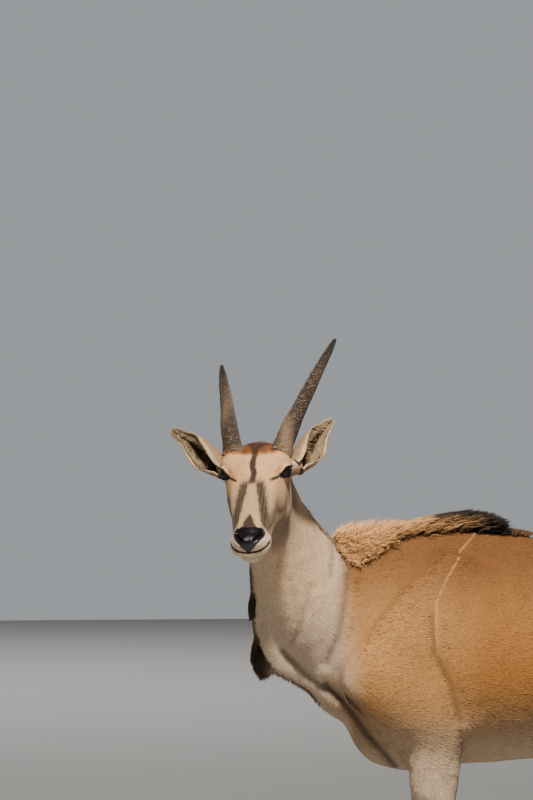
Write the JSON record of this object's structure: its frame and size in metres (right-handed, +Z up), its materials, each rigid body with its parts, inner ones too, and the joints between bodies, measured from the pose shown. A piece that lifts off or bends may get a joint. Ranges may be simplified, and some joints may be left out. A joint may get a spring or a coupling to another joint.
{
  "type": "eland",
  "caption": "Life-size still model of a female eland, standing on cloven hooves with her head turned to her left, for museum and scene displays.",
  "frame": {"origin": "on the floor under the middle of the whole animal's box", "axes": "+Z up, the body along X with the rump towards +X and the chest towards -X, the animal's left side towards -Y"},
  "size_m": [2.0736, 0.7944, 1.869],
  "materials": {
    "body_coat": "short tawny coat",
    "head_coat": "short grey-fawn coat",
    "leg_coat": "short pale coat",
    "horn": "ridged horn",
    "eye": "wet and glossy",
    "hoof": "dull hoof",
    "long_hair": "coarse dark hair"
  },
  "bodies": {
    "root": {"torso": "body_coat", "neck": "head_coat", "head": "head_coat", "ear_left": "head_coat", "ear_right": "head_coat", "eye_left": "eye", "eye_right": "eye", "horn_left": "horn", "horn_right": "horn", "tail": "body_coat", "tail_tuft": "long_hair", "foreleg_left_upper": "leg_coat", "foreleg_left_lower": "leg_coat", "forefoot_left": "leg_coat", "forehoof_left_outer": "hoof", "forehoof_left_inner": "hoof", "foreleg_right_upper": "leg_coat", "foreleg_right_lower": "leg_coat", "forefoot_right": "leg_coat", "forehoof_right_outer": "hoof", "forehoof_right_inner": "hoof", "hindleg_left_upper": "leg_coat", "hindleg_left_lower": "leg_coat", "hindfoot_left": "leg_coat", "hindhoof_left_outer": "hoof", "hindhoof_left_inner": "hoof", "hindleg_right_upper": "leg_coat", "hindleg_right_lower": "leg_coat", "hindfoot_right": "leg_coat", "hindhoof_right_outer": "hoof", "hindhoof_right_inner": "hoof"}
  },
  "joints": []
}
